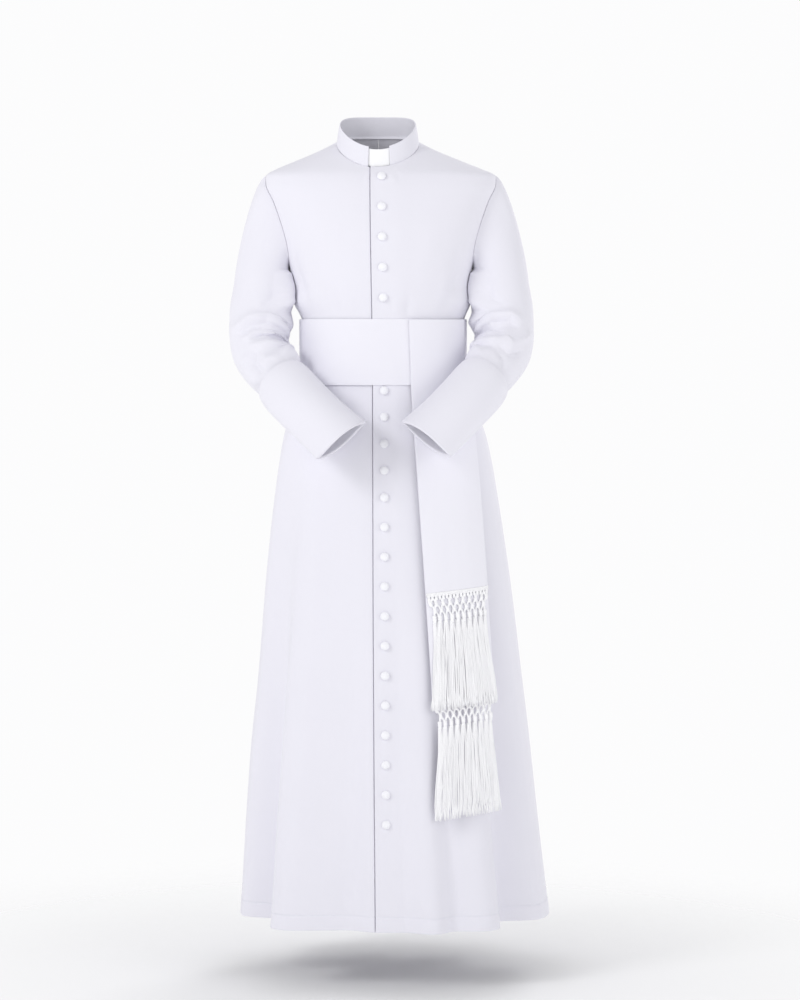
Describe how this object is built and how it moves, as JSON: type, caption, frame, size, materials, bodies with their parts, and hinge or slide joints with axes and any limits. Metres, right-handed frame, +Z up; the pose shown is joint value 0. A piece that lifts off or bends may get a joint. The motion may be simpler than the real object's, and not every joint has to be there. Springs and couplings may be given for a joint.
{
  "type": "cassock",
  "caption": "Ankle-length white cassock, worn form, with stand collar, covered buttons, turned-back cuffs and a wide sash with hanging fringed tails.",
  "frame": {"origin": "middle of the neck, level with the shoulder line where it meets the collar, where the wearer's shoulders hold the garment", "axes": "+Z up, the front faces -Y, +X towards the wearer's left"},
  "size_m": [0.607, 0.5321, 1.5172],
  "materials": {
    "cassock_cloth": "soft matt cloth with a faint sheen",
    "collar_tab": "smooth stiff cloth",
    "sash_cloth": "fine ribbed silk, low sheen",
    "fringe_cord": "soft twisted silk thread",
    "button_cloth": "cloth-covered dome"
  },
  "bodies": {
    "root": {"front_right": "cassock_cloth", "front_left": "cassock_cloth", "back_right": "cassock_cloth", "back_left": "cassock_cloth", "sleeve_right": "cassock_cloth", "sleeve_left": "cassock_cloth", "cuff_right": "cassock_cloth", "cuff_left": "cassock_cloth", "collar_band": "cassock_cloth", "collar_tab": "collar_tab", "sash_band": "sash_cloth", "sash_tail_front": "sash_cloth", "sash_tail_back": "sash_cloth", "fringe_front": "fringe_cord", "fringe_back": "fringe_cord", "button_01": "button_cloth", "button_02": "button_cloth", "button_03": "button_cloth", "button_04": "button_cloth", "button_05": "button_cloth", "button_06": "button_cloth", "button_07": "button_cloth", "button_08": "button_cloth", "button_09": "button_cloth", "button_10": "button_cloth", "button_11": "button_cloth", "button_12": "button_cloth", "button_13": "button_cloth", "button_14": "button_cloth", "button_15": "button_cloth", "button_16": "button_cloth", "button_17": "button_cloth", "button_18": "button_cloth", "button_19": "button_cloth", "button_20": "button_cloth", "button_21": "button_cloth"}
  },
  "joints": []
}
